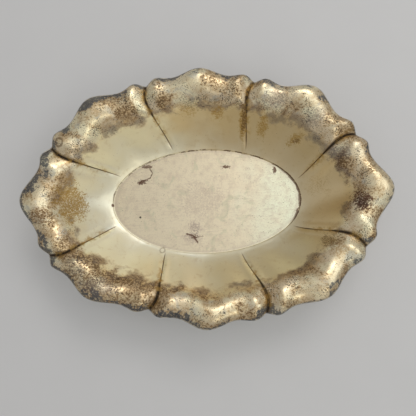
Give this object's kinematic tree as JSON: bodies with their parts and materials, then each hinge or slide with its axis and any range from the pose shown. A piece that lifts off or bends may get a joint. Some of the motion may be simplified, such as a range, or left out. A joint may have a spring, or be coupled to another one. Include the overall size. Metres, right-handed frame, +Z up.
{
  "type": "oval offering dish",
  "caption": "Oval lobed metal dish with a flat well, fluted walls parted by swirled creases and a wavy rolled rim, on a low oval foot ring",
  "frame": {"origin": "on the table, under the middle of the well", "axes": "+X along the dish's length, +Y across it, +Z up out of the well"},
  "size_m": [0.327, 0.231, 0.058],
  "materials": {
    "dish": "worn, mottled and tarnished silver plate over base metal",
    "edge": "worn silver plate, polished by handling",
    "foot": "tarnished silver plate"
  },
  "bodies": {
    "root": {"dish_body": "dish", "edge_wire": "edge", "foot_ring": "foot"}
  },
  "joints": []
}
